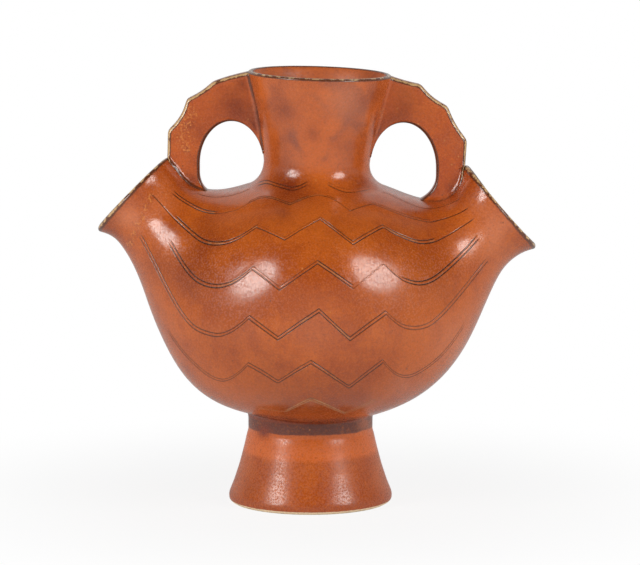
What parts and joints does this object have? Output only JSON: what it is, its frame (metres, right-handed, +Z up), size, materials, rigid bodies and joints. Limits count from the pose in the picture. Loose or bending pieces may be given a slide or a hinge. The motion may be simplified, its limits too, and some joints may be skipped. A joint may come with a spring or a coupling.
{
  "type": "stoneware flower vase",
  "caption": "Hand-built stoneware vase with a bulging belly, side mouths, flared neck, scalloped slab handles and a turned foot.",
  "frame": {"origin": "the point on the standing plane under the middle of the vase's bounding box, within the foot ring", "axes": "+Z up along the neck; X from the left mouth at -X to the right mouth at +X; the front, as pictured, faces -Y"},
  "size_m": [0.2829, 0.202, 0.2805],
  "materials": {
    "iron_glaze": "satin iron-red stoneware glaze, speckled, darker at the neck",
    "foot_glaze": "satin iron-red glaze over a turned foot, with a dark band at the collar and a bare clay ring below",
    "handle_glaze": "satin iron-red glaze that breaks dark at the scalloped edges"
  },
  "bodies": {
    "root": {"foot": "foot_glaze", "lower_bowl": "iron_glaze", "upper_shell": "iron_glaze", "neck": "iron_glaze", "left_mouth": "iron_glaze", "right_mouth": "iron_glaze", "left_handle": "handle_glaze", "right_handle": "handle_glaze"}
  },
  "joints": []
}
